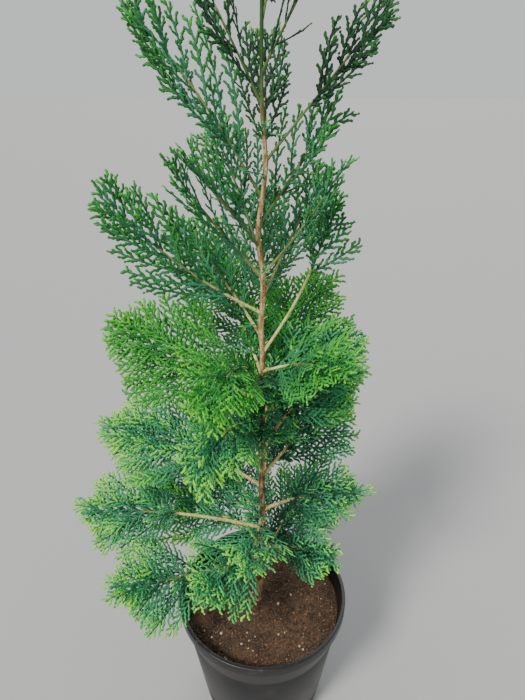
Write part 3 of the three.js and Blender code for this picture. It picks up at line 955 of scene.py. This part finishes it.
def stem_scales(bough):
    """The scale leaves that hide the outer part of the fan's own stem, as short shoots in a row"""
    start = bough.bare + (WOODY_SHARE - STEM_SCALES_OVER_WOOD) * (bough.reach - bough.bare)
    count = max(2, round((bough.reach - start) / STEM_SCALE_LENGTH))
    distance = start + (bough.reach - start) * np.arange(count) / count
    middle, forward, _, over = bough.along(distance)
    same = np.zeros(count)
    long = same + (bough.reach - start) / count * STEM_SCALE_OVERLAP
    return Shoots(middle, forward, over, long, same + STEM_SCALE_WIDTH, same, same + STEM_SCALE_AGE)


SCALE_LENGTH = 4.4
SCALE_FLATNESS = 0.5
# A pair of scales is narrow where it starts and widest a little past its middle
SCALE_PLACES = (0.0, 0.6)
SCALE_GIRTHS = (0.6, 1.0)
SHOOT_TAPER = 0.28


def chained(shoots, tone):
    """Every shoot as a chain of scale leaves: a four-sided rod that narrows and widens at each pair"""
    pairs = np.maximum(1, np.round(shoots.length / SCALE_LENGTH)).astype(int)
    points, quads, triangles, quad_tones, triangle_tones = [], [], [], [], []
    total = 0
    for n in np.unique(pairs):
        which = np.flatnonzero(pairs == n)
        share = (np.repeat(np.arange(n), 2) + np.tile(SCALE_PLACES, n)) / n
        girth = np.tile(SCALE_GIRTHS, n) * (1 - SHOOT_TAPER * share)
        grid = np.broadcast_to(share, (len(which), 2 * n))
        many = np.broadcast_to(which[:, None], grid.shape)
        middle, forward = shoots.at(many, grid)
        face = shoots.face[many]
        side = np.cross(face, forward)
        wide = 0.5 * shoots.width[many][..., None] * girth[:, None]
        thick = face * wide * SCALE_FLATNESS
        rings = np.stack([side * wide, thick, -side * wide, -thick], axis=2)
        rings = (middle[:, :, None] + rings).reshape(len(which), -1, 3)
        tip, _ = shoots.at(which[:, None], np.ones((len(which), 1)))
        # Each pair has two rings of four points, and one more point ends the shoot
        each = 8 * n + 1
        base = (total + each * np.arange(len(which)))[:, None, None]
        c = np.arange(4)
        after = (c + 1) % 4
        ring = 4 * np.arange(2 * n - 1)[:, None]
        wall = np.stack([ring + c, ring + after, ring + 4 + after, ring + 4 + c], axis=-1).reshape(-1, 4)
        point = np.stack([8 * n - 4 + c, 8 * n - 4 + after, 0 * c + 8 * n], axis=-1)
        points.append(np.concatenate([rings, tip], axis=1).reshape(-1, 3))
        quads.append((base + wall).reshape(-1, 4))
        triangles.append((base + point).reshape(-1, 3))
        quad_tones.append(np.repeat(tone[which], len(wall)))
        triangle_tones.append(np.repeat(tone[which], 4))
        total += each * len(which)
    return (
        np.concatenate(points),
        np.concatenate(quads),
        np.concatenate(triangles),
        np.concatenate(quad_tones + triangle_tones),
    )


def fine_length(share, own, longest):
    """Shoots on a spray: short at its foot, longest a little past it, and short again at its tip"""
    return np.minimum(longest, 4 + 0.36 * own) * 2.4 * (share + 0.17) * (1.1 - share)


def tip_length(share, own):
    """The last small shoots, which get shorter towards the end of the shoot that bears them"""
    return 4.8 - 2.4 * share + 0 * own


# How the small shoots on a spray grow, and the last ones on those
FINE_GROWTH = {"bend": 0.1, "twist": 0.14, "ageing": 0.75}
TIP_GROWTH = {"first": 2.6, "opening": 30, "length": tip_length, "bend": 0.1, "twist": 0.2, "ageing": 0.12}
TIP_THINNER = 0.3


def clear_of_pot(shoots):
    """The shoots without those that would end in the pot's wall or in the soil"""
    tip = shoots.root + shoots.way * shoots.length[:, None]
    over_pot = np.hypot(tip[:, 0], tip[:, 1]) < BAND_RADIUS + CLEAR_OF_BAND
    inside = over_pot & (tip[:, 2] < POT_HEIGHT + CLEAR_OF_LIP)
    return Shoots(*(getattr(shoots, field)[~inside] for field in FIELDS))


def toned(shoots, family, start, rng):
    """The tone of each shoot, by its age from old at 0 to this year's at 1, moved on by a start. On the fans
    the start holds painted sunlight: brighter tones on the side that faces the light.
    """
    step = TONE_STEPS * np.maximum(0, shoots.outer) ** TONE_LATE + start
    step = step + rng.normal(0, TONE_CHANCE, len(shoots.outer))
    return np.array(family)[np.clip(np.round(step), 0, len(family) - 1).astype(int)]


def foliage(bough):
    """All the shoots of one fan with their tones"""
    rng = np.random.default_rng(100 + bough.index)
    airy = min(1, max(0, (bough.height - DENSE_BELOW) / (AIRY_ABOVE - DENSE_BELOW)))
    rows = side_sprays(bough, airy) + cover_sprays(bough, airy)
    sprays = Shoots(*(np.array(column) for column in zip(*rows)))
    wide = by_airiness(FINE_WIDTH, airy)
    longest = by_airiness(LONGEST_FINE, airy)
    fine = sprays.grow(
        rng,
        first=3,
        spacing=by_airiness(FINE_SPACING, airy),
        opening=by_airiness(FINE_OPENING, airy),
        length=lambda share, own: fine_length(share, own, longest),
        width=wide,
        **FINE_GROWTH,
    )
    tips = fine.grow(rng, spacing=by_airiness(TIP_SPACING, airy), width=wide - TIP_THINNER, **TIP_GROWTH)
    every = clear_of_pot(joined([stem_scales(bough), sprays, fine, tips]))
    families = (LOW_TONES, MIDDLE_TONES, AIRY_TONES, HIGH_TONES)
    level = bough.height + TONE_HEIGHTS_WANDER * (chance(bough.index, 13) - 0.5)
    family = families[sum(level > limit for limit in TONE_HEIGHTS)]
    # Painted light and shade: the fan's tones are made brighter or darker by how far it faces the lit side
    sunny = SUNNY_CHANGE * math.cos(math.radians(bough.direction - SUNNY_DIRECTION))
    return every, toned(every, family, sunny + SUNNY_START, rng)


GROUP = 3
HIGH_FOLIAGE_FROM = 400
for first in range(0, len(crown), GROUP):
    group = crown[first : first + GROUP]
    grown = [foliage(bough) for bough in group]
    shoots = joined([every for every, _ in grown])
    tone = np.concatenate([tone for _, tone in grown])
    sprays = sown(f"foliage_{first // GROUP + 1:02d}", *chained(shoots, tone), foliage_finishes)
    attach(sprays, "root")
    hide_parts(*(f"fan_{bough.number}" for bough in group))
    "low_foliage" if group[0].height < HIGH_FOLIAGE_FROM else "high_foliage"

# LEADER
# The trunk's last length is this year's growth. It is green, clothed in scale leaves all along, and bears
# small steep shoots on every side in a spiral.
LEADER_LENGTH = 120
LEADER_SCALE = 9
LEADER_SCALES_OVERLAP = 0.6
LEADER_SCALES_PROUD = 1.1
# The age of the scale leaves where the leader starts, and what they gain up to its tip
LEADER_AGES = (0.3, 0.4)
LEADER_SHOOTS_FROM = 116
LEADER_SHOOTS_END = 6
LEADER_SHOOT_SPACING = 4.6
LEADER_SHOOT_WIDTH = 2.6
LEADER_SHOOT_BEND = -0.06
LEADER_SHOOT_OUTWARDS = 0.56
LEADER_SHOOT_UPWARDS = 0.83
SPIRAL = 137
SPIRAL_START = 0.4


def leader():
    """The scale leaves of the leader, its side shoots and their tips"""
    rng = np.random.default_rng(7)
    height = np.arange(PLANT_HEIGHT - LEADER_LENGTH, PLANT_HEIGHT - LEADER_SCALE, LEADER_SCALE)
    up = np.tile([0.0, 0.0, 1.0], (len(height), 1))
    over = np.tile([0.0, -1.0, 0.0], (len(height), 1))
    long = 0 * height + LEADER_SCALE + LEADER_SCALES_OVERLAP
    wide = 2 * trunk_radius(height) + LEADER_SCALES_PROUD
    young = LEADER_AGES[0] + LEADER_AGES[1] * (height - height[0]) / LEADER_LENGTH
    stem = Shoots(trunk_middle(height), up, over, long, wide, 0 * height, young)
    side_height = np.arange(
        PLANT_HEIGHT - LEADER_SHOOTS_FROM, PLANT_HEIGHT - LEADER_SHOOTS_END, LEADER_SHOOT_SPACING
    )
    turn = np.arange(len(side_height)) * math.radians(SPIRAL) + SPIRAL_START
    level = np.stack([np.cos(turn), np.sin(turn), 0 * turn], axis=-1)
    way = level * LEADER_SHOOT_OUTWARDS + (0, 0, LEADER_SHOOT_UPWARDS)
    face = np.cross(level, (0.0, 0.0, 1.0))
    left = PLANT_HEIGHT - side_height
    same = 0 * left
    sides = Shoots(
        root=trunk_middle(side_height),
        way=way,
        face=face,
        length=7 + 0.2 * left,
        width=same + LEADER_SHOOT_WIDTH,
        bend=same + LEADER_SHOOT_BEND,
        outer=same + 0.5,
    )
    tips = sides.grow(
        rng,
        first=3,
        spacing=3.6,
        opening=36,
        length=lambda share, own: 6.5 - 3.5 * share + 0 * own,
        width=2.4,
        bend=0.1,
        twist=0.1,
        ageing=0.3,
    )
    every = joined([stem, sides, tips])
    # The high family's dark tones are painted shade, as on the top fans
    return every, toned(every, HIGH_TONES, 0, rng)


leader_leaves = sown("leader_leaves", *chained(*leader()), foliage_finishes)
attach(leader_leaves, "root")

# SPRIGS
# Short green shoots straight out of the trunk, with the same scale leaves. Most of them stand where a gap
# between the fans lets light in: before the trunk at a third of its height, and over the lowest limb.
SPRIG_CLIMB = (-0.2, 0.9)
SPRIG_TILT = (-0.9, 0.3)
SPRIG_BEND = (-0.2, 0.2)
SPRIG_WIDTH = 2.6
LONGEST_ON_SPRIG = 17
# Painted light: the sprigs' tones are moved towards the bright end, so that they look lit where the fans
# above shade them
SPRIG_TONE_LIFT = 0.4
# Groups of sprigs: how many, and between which heights above the soil, which directions and which lengths
SPRIGS = (
    (36, (268, 352), (230, 345), (30, 58)),
    (44, (60, 640), (0, 360), (7, 22)),
    (18, (84, 168), (95, 205), (20, 42)),
)


def trunk_sprigs():
    """All the sprigs with their side shoots and tips"""
    rng = np.random.default_rng(11)

    def drawn(column):
        return np.concatenate([rng.uniform(*group[column], group[0]) for group in SPRIGS])

    height = drawn(1)
    turn = np.radians(drawn(2))
    level = np.stack([np.cos(turn), np.sin(turn), 0 * turn], axis=-1)
    up = np.array([0, 0, 1.0])
    way = level + up * rng.uniform(*SPRIG_CLIMB, len(turn))[:, None]
    face = up + level * rng.uniform(*SPRIG_TILT, len(turn))[:, None]
    long = drawn(3)
    bend = rng.uniform(*SPRIG_BEND, len(long))
    sprays = Shoots(trunk_middle(height), way, face, long, 0 * long + SPRIG_WIDTH, bend, 0 * long)
    fine = sprays.grow(
        rng,
        first=5,
        spacing=3.9,
        opening=40,
        length=lambda share, own: fine_length(share, own, LONGEST_ON_SPRIG),
        width=SPRIG_WIDTH,
        **FINE_GROWTH,
    )
    tips = fine.grow(rng, spacing=3.6, width=2.4, **TIP_GROWTH)
    every = joined([sprays, fine, tips])
    return every, toned(every, LOW_TONES, SPRIG_TONE_LIFT, rng)


sprigs = sown("trunk_sprigs", *chained(*trunk_sprigs()), foliage_finishes)
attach(sprigs, "root")

# STAND, LIGHT AND CAMERA
# A plain floor under the pot and soft light from above. The camera looks down on the plant from close in
# front, as somebody who stands over it does.
FLOOR_SIZE = 30
bm = bmesh.new()
bmesh.ops.create_grid(bm, x_segments=1, y_segments=1, size=FLOOR_SIZE)
floor = finished("floor", bm)
floor_paint = Finish("grey floor", {"Base Color": (0.366, 0.371, 0.381), "Roughness": 0.85})
floor.data.materials.append(floor_paint.material)

world = bpy.data.worlds.new("studio")
world.use_nodes = True
world.node_tree.nodes["Background"].inputs["Color"].default_value = (0.85, 0.86, 0.87, 1)
world.node_tree.nodes["Background"].inputs["Strength"].default_value = 0.8
bpy.context.scene.world = world
LIT_POINT = Vector((0, 0, 0.5))


def soft_light(name, place, softness, power, colour):
    lamp = bpy.data.lights.new(name, "SUN")
    lamp.angle = math.radians(softness)
    lamp.energy = power
    lamp.color = colour
    holder = bpy.data.objects.new(name, lamp)
    holder.location = place
    holder.rotation_euler = (LIT_POINT - holder.location).to_track_quat("-Z", "Y").to_euler()
    bpy.context.scene.collection.objects.link(holder)


soft_light("key", place=(-1.3, -1.5, 2.5), softness=14, power=3.8, colour=(1, 0.97, 0.9))
soft_light("back", place=(0.5, 2.2, 2.0), softness=40, power=1.1, colour=(1, 0.98, 0.92))

SENSOR = 36
LENS_PIXELS = 526
FRAME_PIXELS = 700
CAMERA_DISTANCE = 0.484
CAMERA_OVER_SOIL = 0.624
CAMERA_LOOKS_DOWN = 27
lens = bpy.data.cameras.new("photo camera")
lens.sensor_width = SENSOR
lens.lens = SENSOR * LENS_PIXELS / FRAME_PIXELS
lens.clip_start = 0.02
camera = bpy.data.objects.new("photo camera", lens)
camera.location = (0, -CAMERA_DISTANCE, SOIL_LEVEL * MM + CAMERA_OVER_SOIL)
camera.rotation_euler = (math.radians(90 - CAMERA_LOOKS_DOWN), 0, 0)
bpy.context.scene.collection.objects.link(camera)
bpy.context.scene.camera = camera
